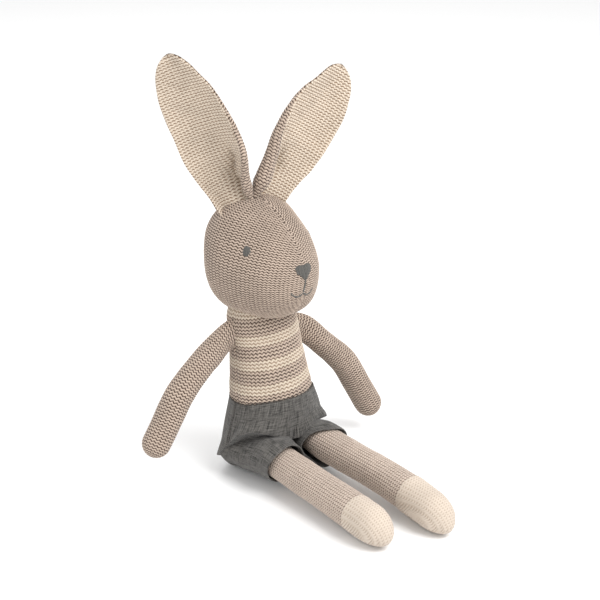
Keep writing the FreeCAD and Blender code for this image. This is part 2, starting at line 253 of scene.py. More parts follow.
def thread_tubes(name, paths, radius, material):
    """Round threads along several paths, as one piece."""
    sides, end_taper = 7, 0.45
    verts, faces, count = [], [], 0
    for path in paths:
        path = np.asarray(path, float)
        tangent = unit(np.gradient(path, axis=0))
        first = unit(np.cross(tangent, [0.13, 0.31, 0.94]))
        second = np.cross(tangent, first)
        angle = np.linspace(0, TAU, sides, endpoint=False)
        taper = np.ones(len(path))
        taper[[0, -1]] = end_taper
        ring = np.cos(angle)[None, :, None] * first[:, None] + np.sin(angle)[None, :, None] * second[:, None]
        verts.append((path[:, None] + ring * radius * taper[:, None, None]).reshape(-1, 3))
        faces += list(grid_faces(len(path), sides, True, count)[0])
        faces += [np.arange(sides)[::-1] + count, np.arange(sides) + count + (len(path) - 1) * sides]
        count += len(path) * sides
    return mesh_object(name, np.vstack(verts), faces, material)


# ---------------------------------------------------------------- materials
FIBRES, PLIES, FLUFF, LOOSE_ROWS, BLOTCHES = 2500.0, 1500.0, 900.0, 330.0, 60.0  # noise scales, to the metre


class Nodes:
    """Short names for the shader nodes used below."""

    def __init__(self, name):
        self.material = bpy.data.materials.new(name)
        self.material.use_nodes = True
        self.tree = self.material.node_tree
        self.shader = self.tree.nodes["Principled BSDF"]

    def add(self, kind, **inputs):
        """A node with its inputs set to numbers or joined to other nodes' outputs."""
        node = self.tree.nodes.new(kind)
        for key, value in inputs.items():
            numbered = key[0] == "i" and key[1:].isdigit()  # i0 is the first input, and From_Min is From Min
            self.plug(node.inputs[int(key[1:]) if numbered else key.replace("_", " ")], value)
        return node

    def plug(self, socket, value):
        if hasattr(value, "is_output"):
            self.tree.links.new(value, socket)
        else:
            socket.default_value = value

    def math(self, operation, a, b=0.0, c=0.0):
        node = self.add("ShaderNodeMath", i0=a, i1=b, i2=c)
        node.operation = operation
        return node.outputs[0]

    def mix(self, factor, a, b):
        """Colour a where factor is 0, and b where it is 1."""
        node = self.add("ShaderNodeMixRGB")
        for socket, value in zip(node.inputs, (factor, a, b)):
            self.plug(socket, value)
        return node.outputs[0]

    def wave(self, x):
        """Cosine of x turns, from 0 to 1."""
        return self.math("MULTIPLY_ADD", self.math("COSINE", self.math("MULTIPLY", x, TAU)), 0.5, 0.5)

    def noise(self, scale, detail=2.0, vector=None):
        """Noise over the object's own coordinates, or over a vector."""
        node = self.add("ShaderNodeTexNoise", Scale=scale, Detail=detail)
        if vector is None:
            vector = self.add("ShaderNodeTexCoord").outputs["Object"]
        self.plug(node.inputs["Vector"], vector)
        return node.outputs[0]

    def finish(self, colour, height, strength, distance, roughness=0.95, sheen=0.15):
        """The material, in a colour and with a relief of some height, in metres, if there is one."""
        shader = self.shader
        self.plug(shader.inputs["Base Color"], colour)
        shader.inputs["Roughness"].default_value = roughness
        shader.inputs["Specular IOR Level"].default_value = 0.15
        shader.inputs["Sheen Weight"].default_value = sheen
        shader.inputs["Sheen Roughness"].default_value = 0.6
        if height is not None:
            node = self.add("ShaderNodeBump", Strength=strength, Distance=distance, Height=height)
            self.tree.links.new(node.outputs[0], shader.inputs["Normal"])
        return self.material


def rgb(r, g, b):
    """A colour from its usual 0 to 255 values."""
    return tuple((c / 255) ** 2.2 for c in (r, g, b)) + (1.0,)


def knit_material(name, pale, deep, wave=0.2, holes=0.3, bridge=0.22, stripes=None, reach=0.75):
    """Knitting over uv in stitches: pale yarn, deep gaps, spun fibres and a little unevenness. The gaps' deep
    colour is painted shade: the colour runs from deep in the low places between rows and stitches to pale on
    the ridges.

    wave is how far a row zigzags, holes how deep each stitch dips, bridge how far the loops between rows
    show, and reach the height where the yarn is fully pale. stripes is (pale, deep, turn rows): a second
    colour from the first turn row to the second, from the third to the fourth, and so on."""
    n = Nodes(name)
    uv = n.add("ShaderNodeSeparateXYZ", Vector=n.add("ShaderNodeTexCoord").outputs["UV"])
    s, t = uv.outputs[0], uv.outputs[1]
    loose = n.math("MULTIPLY_ADD", n.noise(LOOSE_ROWS), 0.5, -0.25)
    t = n.math("ADD", t, n.math("MULTIPLY", loose, 0.55))
    bend = n.math("SINE", n.math("MULTIPLY", s, TAU))
    phase = n.math("MULTIPLY_ADD", bend, wave, t)
    lumps = n.wave(n.math("ADD", s, 0.3))
    ridge = n.math("POWER", n.wave(phase), 0.8)
    height = n.math("MULTIPLY", ridge, n.math("MULTIPLY_ADD", lumps, holes, 1 - holes))
    loops = n.math("MULTIPLY", n.wave(n.math("ADD", s, 0.62)), n.math("MULTIPLY_ADD", ridge, -bridge, bridge))
    height = n.math("ADD", height, loops)
    # shade is the relief's height, which drives the painted shade, plus fluff noise that varies the tone at
    # random
    shade = n.math("ADD", height, n.math("MULTIPLY_ADD", n.noise(FLUFF, 3.0), 0.5, -0.25))
    if stripes:
        second = 0.0  # 1 in rows of the second colour
        for index, row in enumerate(stripes[2]):
            above = n.math("GREATER_THAN", n.math("ADD", phase, 0.5), float(row))
            second = n.math("ADD", second, n.math("MULTIPLY", above, 1.0 if index % 2 == 0 else -1.0))
        pale, deep = n.mix(second, pale, stripes[0]), n.mix(second, deep, stripes[1])
    ramp = n.add("ShaderNodeMapRange", Value=shade, From_Min=0.08, From_Max=reach)
    ramp.interpolation_type = "SMOOTHSTEP"
    # painted shade: the deep colour in the low places of the relief, the pale yarn on the ridges
    colour = n.mix(ramp.outputs[0], deep, pale)
    dim = n.add("ShaderNodeMapRange", Value=n.noise(BLOTCHES), From_Min=0.3, From_Max=0.7,
                To_Min=0.94, To_Max=1.05)
    uneven = n.add("ShaderNodeHueSaturation", Value=dim.outputs[0], Color=colour)
    ply = n.wave(n.math("MULTIPLY_ADD", s, 5.0, n.math("MULTIPLY", t, 2.0)))
    fine = n.math("ADD", n.math("MULTIPLY", ply, 0.12), n.math("MULTIPLY", n.noise(FIBRES), 0.35))
    return n.finish(uneven.outputs[0], n.math("ADD", height, fine), 0.7, 0.00045)


# each yarn colour, then its gap colour, which is painted shade between the rows and stitches
TAUPE, TAUPE_GAP_SHADE = rgb(182, 164, 149), rgb(52, 35, 24)
CREAM, CREAM_GAP_SHADE = rgb(205, 191, 174), rgb(122, 99, 79)
taupe_knit = knit_material("taupe knit", TAUPE, TAUPE_GAP_SHADE, holes=0.35, bridge=0.24)
cream_knit = knit_material("cream knit", CREAM, CREAM_GAP_SHADE, wave=0.15, holes=0.4, bridge=0.34, reach=0.68)
ear_back_knit = knit_material("taupe ear knit", TAUPE, TAUPE_GAP_SHADE, wave=0.15, holes=0.4, bridge=0.3)
# the stripes' pale colour is the ears' cream made a little darker, painted shade for the dimmer light on the
# body; their gap colour is painted shade between the stitches
STRIPE_SHADED_CREAM, STRIPE_GAP_SHADE = rgb(200, 186, 169), rgb(134, 115, 97)
STRIPE_TURNS = (6, 9, 13, 16, 20, 23, 28)  # rows up from the waist where the colour changes
striped_knit = knit_material("striped knit", TAUPE, TAUPE_GAP_SHADE, holes=0.35, bridge=0.26,
                             stripes=(STRIPE_SHADED_CREAM, STRIPE_GAP_SHADE, STRIPE_TURNS))
# the second colour of each is painted shade between the stitches
leg_knit = knit_material("leg knit", rgb(188, 172, 159), rgb(86, 69, 56), holes=0.5, bridge=0.45, reach=0.6)
toe_knit = knit_material("toe knit", rgb(199, 186, 172), rgb(170, 153, 137),
                         holes=0.5, bridge=0.55, reach=0.7)


def weave_material():
    """Plain woven linen over uv in millimetres, with thick and thin threads, and painted shade in the low
    places between threads.
    """
    n = Nodes("grey weave")
    uv = n.add("ShaderNodeSeparateXYZ", Vector=n.add("ShaderNodeTexCoord").outputs["UV"])
    s, t = uv.outputs[0], uv.outputs[1]
    pitch = 1.25  # threads in a millimetre
    warp, weft = n.wave(n.math("MULTIPLY", s, pitch)), n.wave(n.math("MULTIPLY", t, pitch))
    over = n.wave(n.math("MULTIPLY", s, pitch / 2))
    under = n.wave(n.math("MULTIPLY", t, pitch / 2))
    check = n.math("ABSOLUTE", n.math("SUBTRACT", over, under))
    rest = n.math("SUBTRACT", 1.0, check)
    height = n.math("ADD", n.math("MULTIPLY", warp, check), n.math("MULTIPLY", weft, rest))

    def streaks(along_s, along_t):
        """Noise stretched along the threads that run one way."""
        x, y = n.math("MULTIPLY", s, along_s), n.math("MULTIPLY", t, along_t)
        return n.noise(1.0, 3.0, n.add("ShaderNodeCombineXYZ", i0=x, i1=y).outputs[0])

    up, level = streaks(1.5, 0.09), streaks(0.12, 1.5)
    slub = n.math("MULTIPLY_ADD", up, 1.1, n.math("MULTIPLY", level, 0.9))
    # the colour follows the threads' height, which is painted shade dark between threads, and the slubs,
    # which are real streaks of thick and thin thread
    shade = n.math("MULTIPLY_ADD", height, 0.5, slub)
    tone = n.add("ShaderNodeMapRange", Value=shade, From_Min=1.0, From_Max=1.5)
    colour = n.mix(tone.outputs[0], rgb(18, 18, 17), rgb(112, 109, 105))
    fuzz = n.math("MULTIPLY", n.noise(FIBRES), 0.3)
    relief = n.math("ADD", n.math("ADD", height, n.math("MULTIPLY", slub, 0.6)), fuzz)
    return n.finish(colour, relief, 0.6, 0.0003)


def thread_material(name, dark, light):
    """Twisted thread, for the embroidery and for the dark waist stitches, which paint the shade in the waist
    join.
    """
    n = Nodes(name)
    ply = n.noise(PLIES, 3.0)
    colour = n.mix(ply, dark, light)
    return n.finish(colour, ply, 0.4, 0.0003, roughness=0.7)


grey_weave = weave_material()
grey_thread = thread_material("grey thread", rgb(62, 61, 59), rgb(106, 104, 100))
# a dark thread whose colour is painted shade along the waist join
waist_shade_thread = thread_material("waist shade thread", rgb(44, 38, 34), rgb(72, 66, 60))

# ---------------------------------------------------------------- head
head_low, head_high = box("head_panel_right", "head_panel_left")
HEAD_HALF = (head_high - head_low) / 2
HEAD_MIDDLE = (head_high + head_low) / 2
HEAD_BACK = 0.417 * (head_high[1] - head_low[1])  # from the widest section to the back
HEAD_Y = head_high[1] - HEAD_BACK
HEAD_FRONT = HEAD_Y - head_low[1]
MUZZLE_DROP = 10.0  # how far the snout is below the middle of the head
HEAD_ROWS_TILT = math.radians(4)  # the rows sink towards the muzzle
ROW, STITCH, EAR_STITCH = 2.1, 3.8, 2.9  # heights of a row and widths of a stitch, in millimetres


def inside_head(p):
    """Whether points are inside the egg of the head, which droops towards the muzzle."""
    back = p[..., 1] > HEAD_Y
    q = (p[..., 1] - HEAD_Y) / np.where(back, HEAD_BACK, HEAD_FRONT)
    section = np.maximum(1 - q**2, 1e-12) ** np.where(back, 0.5, 0.54)
    drop = MUZZLE_DROP * np.clip(-q, 0, 1) ** 1.5
    brow = 1 - 0.09 * smooth(p[..., 2] - HEAD_MIDDLE[2], -5.0, 32.0) * smooth(-q, 0.0, 0.5)
    full = np.maximum(smooth(p[..., 1], -5.0, 30.0), smooth(HEAD_MIDDLE[2] - p[..., 2], 5.0, 30.0))
    power = 2.0 + 0.35 * full  # 2 is an ellipse, and more is squarer
    across = np.abs(p[..., 0] / (HEAD_HALF[0] * section * brow)) ** power
    upright = np.abs((p[..., 2] - HEAD_MIDDLE[2] + drop) / (HEAD_HALF[2] * section)) ** power
    return (across + upright < 1) & (np.abs(q) < 1)


def last_inside(start, direction, reach):
    """The last point inside the head on lines from start, in millimetres."""
    near, far = np.zeros(direction.shape[:-1]), np.full(direction.shape[:-1], float(reach))
    for _ in range(26):
        mid = (near + far) / 2
        inside = inside_head(start + direction * mid[..., None])
        near, far = np.where(inside, mid, near), np.where(inside, far, mid)
    return start + direction * near[..., None]


def head_surface(directions):
    """Where lines from the head's widest section leave the head."""
    return last_inside(np.array([0, HEAD_Y, HEAD_MIDDLE[2]]), directions, 75)


def on_head(x, z, lift=0.0):
    """The front of the head at a given x and z, lifted off it by some millimetres."""
    x, z = np.broadcast_arrays(np.asarray(x, float), np.asarray(z, float))

    def touch(x, z):
        start = np.stack([x, HEAD_Y + 0 * x, z], -1)
        return last_inside(start, np.broadcast_to([0.0, -1.0, 0.0], start.shape), 60)

    point, step = touch(x, z), 0.5
    normal = unit(np.cross(touch(x + step, z) - point, touch(x, z + step) - point))
    return point + normal * np.asarray(lift)[..., None]


def head_panel(name, side):
    """One half of the head, cut flat from knitting.

    Its rows are straight round the cheek and meet in chevrons at the seam down the face."""
    rows, cols = 350, 230
    tilt = np.linspace(-1.5, 1.54, rows)
    turn = np.linspace(0.0, math.pi, cols)
    probe = head_surface(np.stack([side * np.cos(tilt), 0 * tilt, np.sin(tilt)], -1))
    length = np.r_[0, np.cumsum(np.linalg.norm(np.diff(probe, axis=0), axis=1))]
    even = np.linspace(0, length[-1], rows)
    tilt = np.interp(even, length, tilt)
    c, s = np.cos(tilt)[:, None], np.sin(tilt)[:, None]
    directions = np.stack([side * c * np.sin(turn), -c * np.cos(turn), s + 0 * turn], -1)
    points = head_surface(directions)
    points = points + unit(points - HEAD_MIDDLE) * (0.7 + 0.5 * ripple(points, 45, 3))[..., None]
    near_seam = bump(points[..., 0], 0.0, 1.2)
    points = points - directions * (0.3 * near_seam)[..., None]
    out = points - [0, HEAD_Y, HEAD_MIDDLE[2]]
    size = np.linalg.norm(out, axis=-1)
    away = size * np.arccos(np.clip(side * out[..., 0] / size, -1, 1))
    heading = np.arctan2(-out[..., 1], out[..., 2]) - HEAD_ROWS_TILT
    st = np.stack([away * np.sin(heading) / STITCH, away * np.cos(heading) / ROW + 60], -1)
    obj = shell(name, points, st, taupe_knit, 0.6, thick=1.2, out=side, fade=1 - near_seam)
    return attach(obj, "head")


for word, side in SIDES:
    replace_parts(head_panel(f"head_{word}_panel", side), f"head_panel_{word}", "head_stuffing")

# ---------------------------------------------------------------- face
def stitches(name, paths, radius, node):
    """Embroidered threads that stand for one CAD node."""
    obj = thread_tubes(name, paths, radius, grey_thread)
    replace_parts(obj, node)
    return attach(obj, "head")


def eye(word, side):
    """Upright threads side by side, longest in the middle, which make an oval."""
    threads, half_height, half_width = 8, 3.8, 2.75
    low, high = box(f"eye_{word}")
    middle = on_head(side * (abs(low[0] + high[0]) / 2 - 0.5), (low[2] + high[2]) / 2)
    x, z = middle[0], middle[2]
    normal = unit(on_head(x, z, 1.0) - on_head(x, z))
    up = unit(np.array([0, 0, 1.0]) - normal[2] * normal)
    across = np.cross(up, normal)
    v = np.linspace(-1, 1, 15)
    paths = []
    for i in np.linspace(-1, 1, threads):
        half = half_height * math.sqrt(max(1 - 0.86 * i * i, 0.02))
        dome = 1.0 * (1 - 0.7 * i * i) * (1 - v**4) - 0.2
        jitter = rng.normal(0, 0.12, 2)
        paths.append(middle + np.outer(half * v + jitter[1], up)
                     + np.outer(half_width * i + jitter[0] * (1 - v * v), across) + np.outer(dome, normal))
    stitches(f"eye_{word}_stitches", paths, 0.48, f"eye_{word}")


def nose():
    """Upright threads that make a wedge, with a dip in the middle of its top edge."""
    threads = 15
    low, high = box("nose")
    half, top, tall = (high[0] - low[0]) / 2, high[2], high[2] - low[2]
    v = np.linspace(0, 1, 16)
    paths = []
    for i in np.linspace(-1, 1, threads):
        start = top - 0.4 * bump(i, 0.0, 0.3) - 3.4 * max(abs(i) - 0.5, 0) ** 1.5 + rng.normal(0, 0.12)
        length = tall * (1.05 - 0.62 * abs(i) ** 1.5)
        x = half * i * (1 - 0.12 * v) + rng.normal(0, 0.08)
        lift = 0.35 + 1.0 * (1 - 0.55 * i * i) * (1 - (2 * v - 1) ** 4)
        paths.append(on_head(x, start - length * v, lift))
    stitches("nose_stitches", paths, 0.5, "nose")


def mouth():
    """A thread down from the nose, a little off the middle, and a smile of two arcs at its foot."""
    lift, aside, reach = 0.45, 2.2, 9.0
    nose_foot = box("nose")[0][2] + 0.3
    z = box("mouth")[0][2] + 1.0
    v = np.linspace(0, 1, 14)
    drop = on_head(-aside * v + 0.15 * np.sin(6 * v), nose_foot * (1 - v) + (z + 1.4) * v, lift)
    height = z + 1.2 * (1 - v) + 2.6 * v**2 - 2.2 * np.sin(math.pi * v)
    arcs = [on_head(side * reach * v - aside, height, lift) for side in (-1, 1)]
    stitches("mouth_stitches", [drop] + arcs, 0.62, "mouth")


# ---------------------------------------------------------------- body under the stripes
TORSO_Z = (50.0, 58.5, 76.0, 94.6, 106.3, 110.5, 116.0, 125.0)
TORSO_HALF_WIDTH = (27.4, 30.4, 29.2, 27.6, 27.0, 26.8, 26.4, 23.5)
TORSO_HALF_DEPTH = (22.8, 25.8, 24.8, 22.9, 21.5, 20.8, 20.4, 18.5)
TORSO_ROW = 2.45
TORSO_STITCHES = 27  # across each panel


def torso_point(turn, z):
    """The body's surface; turn 0 is the front and a quarter turn is its left side."""
    half_width, half_depth = profile(z, TORSO_Z, TORSO_HALF_WIDTH), profile(z, TORSO_Z, TORSO_HALF_DEPTH)
    middle = 8.0 * np.clip((z - 57.5) / 53.0, -0.2, 1.25) - 0.8
    x = half_width * np.sin(turn) - 1.2 * smooth(z, 95.0, 112.0)  # the neck leans a little to the right
    return np.stack([x, middle - half_depth * np.cos(turn), z + 0 * turn], -1)


def torso_panel(word, start):
    """The front or back of the striped body, from its side seam at the turn called start to the other one."""
    rows, cols = 250, 210
    first_row = 53.1
    z = np.linspace(53.0, 125.0, rows)[:, None]
    turn = start + np.linspace(0, math.pi, cols)[None, :]
    points = torso_point(turn, z)
    middle = points * [0, 0, 1] + [0, 5, 0]
    outward = unit(points - middle)
    points = points + outward * (0.7 * ripple(points, 32, 11))[..., None]
    from_seam = np.sin(turn - start) * 27  # in millimetres, near the side seams
    near_seam = bump(from_seam, 0.0, 1.3) + 0 * z
    points = points - outward * (0.7 * near_seam)[..., None]
    around = np.linspace(0, TORSO_STITCHES, cols)[None] + 0 * z
    leaning = 0.085 * (0.74 * points[..., 0] - 0.67 * points[..., 1])  # the rows rise a little to one side
    st = np.stack([around, (z - first_row - leaning) / TORSO_ROW], -1)
    obj = shell(f"torso_{word}_panel", points, st, striped_knit, 0.55, fade=1 - 0.7 * near_seam)
    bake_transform(obj)
    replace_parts(obj, f"torso_panel_{word}", "body_stuffing", "neck_stuffing")


# ---------------------------------------------------------------- arms and legs
def centreline(node, start, stops):
    """Points down the middle of a long CAD node, from start to its far end."""
    co = vertices(node)
    end = far_point(node, start)
    along = (co - start) @ unit(end - start) / np.linalg.norm(end - start)
    points = []
    for stop in stops:
        near = co[np.abs(along - stop) < 0.06]  # along and the stops are shares of the length
        points.append((near.min(0) + near.max(0)) / 2)
    return points + [end]


def leg_line(word):
    """A leg's direction, and how far the toe's tip and the ring where the toe begins are from its hip."""
    pivot, _ = joint(f"hip_{word}")
    cover = vertices(f"leg_{word}_cover")
    rough = unit(far_point(f"leg_{word}_toe", pivot) - pivot)
    along = (cover - pivot) @ rough
    stretch = 6  # of cover at each end
    ends = [cover[along < along.min() + stretch], cover[along > along.max() - stretch]]
    first, last = [(e.min(0) + e.max(0)) / 2 for e in ends]
    way = unit(last - first)
    toe = (vertices(f"leg_{word}_toe") - pivot) @ way
    return way, toe.max(), toe.min()


# how much shorter than its CAD solid, how far the shoulder sags, and the radii at ARM_ALONG and at the tip
ARMS = {"right": (3.2, 2.6, (11.5, 10.8, 9.5, 9.9, 10.0)), "left": (-2.2, 0.3, (9.8, 9.6, 9.1, 9.9, 10.0))}
ARM_ALONG = (0, 12, 30, 60)
ARM_STITCHES = 20


def arm(word, side):
    """A filled tube, flat where it is sewn to the shoulder and round at the hand."""
    pivot, _ = joint(f"shoulder_{word}")
    node = f"arm_{word}_cover"
    shorten, sag, radii = ARMS[word]
    mid = centreline(node, pivot, (0.25, 0.5, 0.75))
    way = unit(mid[0] - pivot)
    moves = ([-side * 0.2, 0, -1.0], [side * 1.0, 0, 0.4], [side * 0.6, 0, 0.2])
    mid = [m + np.array(move) for m, move in zip(mid, moves)] + [mid[3] - shorten * unit(mid[3] - mid[2])]
    root = pivot - way * 8 + [-side * 9.0, 0, 0]
    curve, tangent, along = spline([root - [0, 0, 1.15 * sag], pivot - [0, 0, sag]] + mid, 360)
    normal = unit(np.cross(mid[1] - pivot, mid[3] - mid[1]))
    closing = round_end(along, 10.5)
    radius = profile(along, ARM_ALONG + (along[-1],), radii) * closing
    flat = 1 - 0.6 * (1 - smooth(along, 9, 34))
    points = tube(curve, tangent, normal, radius, radius * flat, 138)
    points = points + unit(points - curve[:, None]) * (0.3 * ripple(points, 30, 20 + side))[..., None]
    st = tube_st(points, ARM_STITCHES, ROW)
    obj = skin(f"arm_{word}_knit", points, st, taupe_knit, 0.5, fade=np.clip(closing * 2, 0, 1)[:, None])
    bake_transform(obj)
    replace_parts(obj, node, f"arm_{word}_stuffing")


# how much longer than its CAD solid, how far it is lifted, and how far the foot bends aside
LEGS = {"right": (-0.8, (0, 0, 0.4), (0, 0, 0)), "left": (3.4, (1.2, 0, 2.0), (-5.0, -5.0, -2.0))}
LEG_STITCHES, LEG_ROW = 34, 2.0
TOE_STITCH, TOE_ROW = 2.6, 1.7
TOE_ROUND = 23.0  # the stretch over which the toe closes


def leg(word, side):
    """A filled fine-knit tube, and the toe cap that closes it."""
    pivot, _ = joint(f"hip_{word}")
    way, length, ring = leg_line(word)
    longer, lift, bend = (np.array(value, float) for value in LEGS[word])
    end = pivot + way * (length + longer)
    curve, tangent, along = spline([pivot - way * 6 + lift, pivot + way * 40 + lift,
                                    pivot + way * 80 + lift + [0, 0, 0.6] + 0.15 * bend,
                                    end + lift - way * 0.5 + bend], 420)
    straight = along[-1] - TOE_ROUND
    closer = np.sin(np.linspace(0, math.pi / 2, 90))  # the rings crowd towards the tip
    even = np.concatenate([np.linspace(0, straight, 340)[:-1], along[-1] - TOE_ROUND * (1 - closer)])
    curve, tangent, along = resample(curve, along, even), unit(resample(tangent, along, even)), even
    sideways = unit(np.cross([0, 0, 1.0], way))
    radius = profile(along, (0, 12, 30, 60, 90, 106, along[-1]), (10.6, 12.2, 12.3, 12.3, 12.8, 13.0, 12.6))
    close = np.clip((along - straight) / TOE_ROUND, 0, 1)
    closing = np.sqrt(np.maximum(1 - close**2.4, 0.000004))
    curve = curve - np.outer((1 - closing) * 4.2, [0, 0, 1])
    segments = 238
    points = tube(curve, tangent, sideways, radius * closing, radius * closing * 0.98, segments)
    points = points + unit(points - curve[:, None]) * (0.35 * ripple(points, 30, 30 + side))[..., None]
    around = np.linspace(0, LEG_STITCHES, segments + 1)[None]
    st = np.stack(np.broadcast_arrays(around, along[:, None] / LEG_ROW), -1)
    split = int(np.searchsorted(along, ring + 6))
    cover = skin(f"leg_{word}_knit", points[: split + 2], st[: split + 2], leg_knit, 0.4)
    begin = split - 3  # the toe cap overlaps the leg's last rings
    toe_points = points[begin:] + unit(points[begin:] - curve[begin:, None]) * 0.3
    lean = unit(way * 0.75 - [0, 0, 0.65])  # the toe's rows run across it and down its front
    ring_points = np.concatenate([toe_points, toe_points[:, :1]], 1)
    toe_s = (ring_points @ sideways) / TOE_STITCH + ring_points[..., 2] / 9.0
    toe_st = np.stack([toe_s, (ring_points @ lean) / TOE_ROW], -1)
    fade = np.clip(closing[begin:] * 1.3 - 0.2, 0, 1)[:, None]
    toe = skin(f"toe_{word}_knit", toe_points, toe_st, toe_knit, 0.15, fade=fade)
    for obj, nodes, slot in ((cover, (f"leg_{word}_cover", f"leg_{word}_stuffing"), "leg_knit"),
                             (toe, (f"leg_{word}_toe",), "toe_knit")):
        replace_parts(obj, *nodes)
    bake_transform(cover)
    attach(toe, f"leg_{word}")


# ---------------------------------------------------------------- ears
EAR_V = (-0.1, 0.1, 0.25, 0.45, 0.7, 0.85, 1.0)  # from below the root to the tip, as shares of the length
# By side: length in millimetres, turn, lean and tilt in degrees, and sway of the tip. At the stations of
# EAR_V, outer and flat widen the outer and the inner side, and rolled is the stretch of edge that rolls
# forward. fold and fold_at are the depth of the crease near the root and its place, and the tucks push the
# root's sides back.
EARS = {"right": {"length": 110.0, "turn": -55.0, "lean": 9.0, "tilt": -22.0, "sway": 0.0,
                  "outer": (5.0, 3.6, 1.0, -0.6, 0.0, 0.0, 0.0),
                  "flat": (-8.0, -3.2, 3.6, 2.6, -1.2, -2.2, 0.0),
                  "rolled": (15.0, 10.0, 6.5, 4.5, 2.5, 1.0, 0.0), "fold": 10.0, "fold_at": 5.5, "tuck": 9.0,
                  "outer_tuck": 5.0},
        "left": {"length": 99.5, "turn": -15.0, "lean": 7.5, "tilt": 32.0, "sway": 3.0,
                 "outer": (-2.5, -2.5, -2.0, -1.6, -0.4, 0.0, 0.0),
                 "flat": (-2.0, -1.0, -0.5, 1.6, 0.2, -3.2, 0.0),
                 "rolled": (17.0, 18.0, 14.0, 8.5, 4.5, 2.0, 0.0), "fold": 7.0, "fold_at": 6.0, "tuck": 4.0,
                 "outer_tuck": 1.0}}
EAR_HALF = 23.2  # half the width where the ear is widest
EAR_TOP = 0.55  # where the sides begin to close in an arc


def ear_rotation(spec):
    """The ear's own axes as columns: across, backwards and up."""
    about = [Matrix.Rotation(math.radians(spec[key]), 3, axis)
             for key, axis in (("turn", "Z"), ("lean", "X"), ("tilt", "Y"))]
    return np.array(about[0] @ about[1] @ about[2])


def ear_half_width(v):
    """Half the ear's flat width at v."""
    closing = EAR_HALF * np.sqrt(np.maximum(1 - ((v - EAR_TOP) / (1 - EAR_TOP)) ** 2, 0.0002))
    opening = profile(v, (-0.1, 0.1, 0.25, 0.4, EAR_TOP), (16.0, 18.6, 21.6, EAR_HALF, EAR_HALF))
    return np.where(v > EAR_TOP, closing, opening)[:, None] + 1.2 * smooth(1 - v, 0.3, 0.6)[:, None]


def ear_middle(spec, inner, v, u):
    """The ear's middle surface about its root, and how far round each point is from the ear's middle line."""
    half = ear_half_width(v)
    more = (profile(v, EAR_V, spec["rolled"]) * (0.3 + 0.7 * smooth(v, -0.08, 0.1)))[:, None]
    flat = profile(v, EAR_V, spec["flat"])[:, None]
    outer = half + profile(v, EAR_V, spec["outer"])[:, None]
    edge = half + flat + more
    arc = np.where(u > 0, u * edge, u * outer)
    step = np.diff(arc, axis=1, prepend=-outer - 0.4)
    cup = profile(v, (-0.1, 0.12, 0.3, 0.6, 1.0), (1.6, 1.4, 1.05, 0.7, 0.4))[:, None]
    roll = profile(v, (-0.1, 0.15, 0.35, 0.6, 0.8, 1.0), (1.2, 2.5, 2.2, 1.3, 0.5, 0.1))[:, None]
    angle = cup * np.where(arc > 0, arc / edge, arc / half)
    angle = angle + roll * smooth(edge - arc, more + 0.1, 0.15 * more)
    x = np.cumsum(np.cos(angle) * step, 1)
    y = -np.cumsum(np.sin(angle) * step, 1)
    centre = u.shape[1] // 2
    x, y = (x - x[:, centre : centre + 1]) * inner, y - y[:, centre : centre + 1]
    up = np.clip(v, 0, 1)[:, None]
    x = x + inner * spec["sway"] * up**3
    bow = 4.0 * np.sin(math.pi * up)
    fold = half + flat - spec["fold_at"] - 11.0 * smooth(v, -0.02, 0.2)[:, None]
    deep = (smooth(v, -0.1, 0.06) * (1 - smooth(v, 0.16, 0.4)))[:, None]
    bow = bow + spec["fold"] * np.exp(-np.abs((arc - fold) / 5.0) ** 1.5) * deep
    low = (1 - smooth(v, -0.05, 0.36))[:, None]
    tucks = spec["tuck"] * smooth(arc / half, 0.1, 0.9) + spec["outer_tuck"] * smooth(-arc / half, 0.1, 0.9)
    z = (v * spec["length"])[:, None] + 0 * x
    return np.stack([x, y + bow + low * tucks, z], -1), arc, half


def turned_in(surface, v, u, half, length):
    """How far a panel moves inwards when its edge is turned in, so that the other panel makes the rim."""
    near_side = np.sign(u) * bump((1 - np.abs(u)) * half, 0.0, 2.5)
    near_tip = bump((1 - v[:, None]) * length, 0.0, 2.5)
    across, upward = (unit(np.gradient(surface, axis=axis)) for axis in (1, 0))
    return (across * near_side[..., None] + upward * near_tip[..., None]) * 0.9


def ear(word, inner):
    """A cupped ear of two layers. inner is the side, -1 or 1, of the edge that rolls forward."""
    pivot, _ = joint(f"ear_{word}_fold")
    spec = EARS[word]
    rows, cols = 300, 120
    axes = ear_rotation(spec)
    v = np.sin(np.linspace(-0.05, 1, rows) * math.pi / 2)
    u = np.linspace(-1, 1, cols)[None]
    local, arc, half = ear_middle(spec, inner, v, u)
    middle = local @ axes.T + pivot
    middle = middle + 1.2 * ripple(middle, 34, 40 + inner)[..., None] * axes[:, 1]
    st = np.stack([arc / EAR_STITCH + 20, local[..., 2] / ROW], -1)
    # 0 at the edge and 1 inside it
    rim = np.sqrt(np.clip(1 - np.abs(u) ** 10, 0, 1)) * np.clip((1 - v[:, None]) * 30, 0.15, 1)
    normal = grid_normals(middle, False)
    normal = normal * (1 if np.mean(normal @ -axes[:, 1]) > 0 else -1)
    for part, sign, material, slot, thin in (("front", 1, cream_knit, "cream_knit", 0.8),
                                             ("back", -1, ear_back_knit, "taupe_knit", 0.3)):
        surface = middle + normal * (sign * (0.35 + 1.1 * rim))[..., None]
        if part == "back":
            surface = surface - turned_in(middle, v, u, half, spec["length"])
        out = sign * np.sign(np.mean(np.sum(grid_normals(surface, False) * normal, -1)))
        obj = shell(f"ear_{word}_{part}_knit", surface, st, material, 0.5, thick=thin + 0.6 * rim, out=out,
                    fade=0.25 + 0.75 * rim, wave=0.15)
        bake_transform(obj)
        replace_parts(obj, f"ear_{word}_{part}")


# ---------------------------------------------------------------- shorts
WAIST_HEIGHT, WAIST_RISE = 58.0, 4.6  # at the sides and the back, and how much higher it is at the front
SHORTS_GIRTH = 210.0


